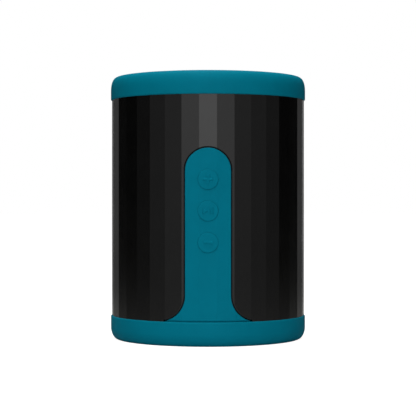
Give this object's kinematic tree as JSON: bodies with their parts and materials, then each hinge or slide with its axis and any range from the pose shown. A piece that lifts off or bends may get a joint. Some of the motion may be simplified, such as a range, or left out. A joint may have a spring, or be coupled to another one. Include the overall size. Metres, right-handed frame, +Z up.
{
  "type": "portable bluetooth speaker",
  "caption": "Upright cylindrical portable speaker with a faceted dark sleeve, soft teal end caps and a teal front tongue that carries three round press keys.",
  "frame": {"origin": "middle of the face it stands on", "axes": "+Z up, -Y towards the front with the keys, +X to the right when facing the front"},
  "size_m": [0.084, 0.084, 0.1125],
  "materials": {
    "cap_silicone": "matte moulded silicone, fine stipple",
    "strip_silicone": "matte moulded silicone, fine stipple",
    "key_silicone": "matte moulded silicone with raised marks",
    "door_rubber": "matte moulded rubber",
    "sleeve_paint": "fine textured satin powder coat, folded in narrow flats",
    "black_plastic": "fine spark-eroded mould texture",
    "cover_plastic": "fine mould texture with two rings",
    "chamber_plastic": "plain moulded plastic",
    "dust_cloth": "fine woven cloth",
    "screw_steel": "blackened zinc plate",
    "pin_steel": "ground steel",
    "basket_paint": "black coated pressed steel",
    "pole_steel": "turned and zinc plated",
    "ferrite": "dull pressed ferrite",
    "cone_paper": "coated pulp",
    "spider_cloth": "resin treated cloth",
    "coil_wire": "enamelled copper winding on a paper former",
    "edge_rubber": "smooth butyl rubber",
    "disc_metal": "anodised",
    "board_laminate": "solder mask with tracks",
    "can_metal": "tinned sheet",
    "chip_plastic": "moulded epoxy",
    "stem_plastic": "plain nylon",
    "pouch_foil": "laminated foil pouch",
    "lead_sheath": "flexible sheath",
    "ribbon_film": "polyimide film"
  },
  "bodies": {
    "housing": {"acoustic_scrim": "dust_cloth", "aux_socket": "chip_plastic", "baffle": "chamber_plastic", "baffle_screws": "screw_steel", "baffle_seal": "edge_rubber", "base_cover": "cover_plastic", "base_plate": "black_plastic", "base_screws": "screw_steel", "battery_lead": "lead_sheath", "battery_pack": "pouch_foil", "battery_tray": "chamber_plastic", "board_components": "chip_plastic", "board_screws": "screw_steel", "bottom_cap": "cap_silicone", "control_strip": "strip_silicone", "door_pin": "pin_steel", "door_seal": "edge_rubber", "driver_basket": "basket_paint", "driver_gasket": "edge_rubber", "driver_lead": "lead_sheath", "driver_magnet": "ferrite", "driver_pole_plate": "pole_steel", "driver_screws": "screw_steel", "driver_spider": "spider_cloth", "driver_surround": "edge_rubber", "driver_yoke": "pole_steel", "enclosure": "chamber_plastic", "grille_sleeve": "sleeve_paint", "key_board": "board_laminate", "key_board_screws": "screw_steel", "key_ribbon": "ribbon_film", "main_board": "board_laminate", "port_bezel": "black_plastic", "port_board": "board_laminate", "port_board_screws": "screw_steel", "port_lead": "lead_sheath", "radiator_frame": "chamber_plastic", "radiator_screws": "screw_steel", "radiator_surround": "edge_rubber", "shield_can": "can_metal", "sound_deflector": "black_plastic", "strip_carrier": "black_plastic", "switch_bodies": "chip_plastic", "top_cap": "cap_silicone", "top_plate": "black_plastic", "top_plate_screws": "screw_steel", "usb_socket": "can_metal"},
    "plus_key": {"plus_button": "key_silicone"},
    "play_key": {"play_button": "key_silicone"},
    "minus_key": {"minus_button": "key_silicone"},
    "plus_stem": {"plus_plunger": "stem_plastic"},
    "play_stem": {"play_plunger": "stem_plastic"},
    "minus_stem": {"minus_plunger": "stem_plastic"},
    "driver_motor": {"driver_cone": "cone_paper", "driver_dust_cap": "cone_paper", "voice_coil": "coil_wire"},
    "radiator": {"radiator_diaphragm": "disc_metal", "radiator_weight": "pole_steel"},
    "door": {"port_door": "door_rubber"}
  },
  "joints": [
    {"name": "plus_press", "type": "slide", "parent": "housing", "child": "plus_key", "axis": [0, 1, 0], "range_m": [0, 0.0005], "stiffness_N_per_m": 2500},
    {"name": "plus_stem_slide", "type": "slide", "parent": "housing", "child": "plus_stem", "axis": [0, 1, 0], "range_m": [0, 0.0005]},
    {"name": "play_press", "type": "slide", "parent": "housing", "child": "play_key", "axis": [0, 1, 0], "range_m": [0, 0.0005], "stiffness_N_per_m": 2500},
    {"name": "play_stem_slide", "type": "slide", "parent": "housing", "child": "play_stem", "axis": [0, 1, 0], "range_m": [0, 0.0005]},
    {"name": "minus_press", "type": "slide", "parent": "housing", "child": "minus_key", "axis": [0, 1, 0], "range_m": [0, 0.0005], "stiffness_N_per_m": 2500},
    {"name": "minus_stem_slide", "type": "slide", "parent": "housing", "child": "minus_stem", "axis": [0, 1, 0], "range_m": [0, 0.0005]},
    {"name": "cone_stroke", "type": "slide", "parent": "housing", "child": "driver_motor", "axis": [0, 0, 1], "range_m": [-0.002, 0.002], "stiffness_N_per_m": 1800, "deforming": ["driver_surround", "driver_spider"]},
    {"name": "radiator_stroke", "type": "slide", "parent": "housing", "child": "radiator", "axis": [0, 0, 1], "range_m": [-0.003, 0.003], "stiffness_N_per_m": 1500, "deforming": ["radiator_surround"]},
    {"name": "door_hinge", "type": "hinge", "parent": "housing", "child": "door", "pos_m": [0, 0.03895, 0.0398], "axis": [1, 0, 0], "range_deg": [0, 95]}
  ],
  "couplings": [
    {"joint": "plus_stem_slide", "follows": "plus_press", "ratio": 1},
    {"joint": "play_stem_slide", "follows": "play_press", "ratio": 1},
    {"joint": "minus_stem_slide", "follows": "minus_press", "ratio": 1}
  ]
}
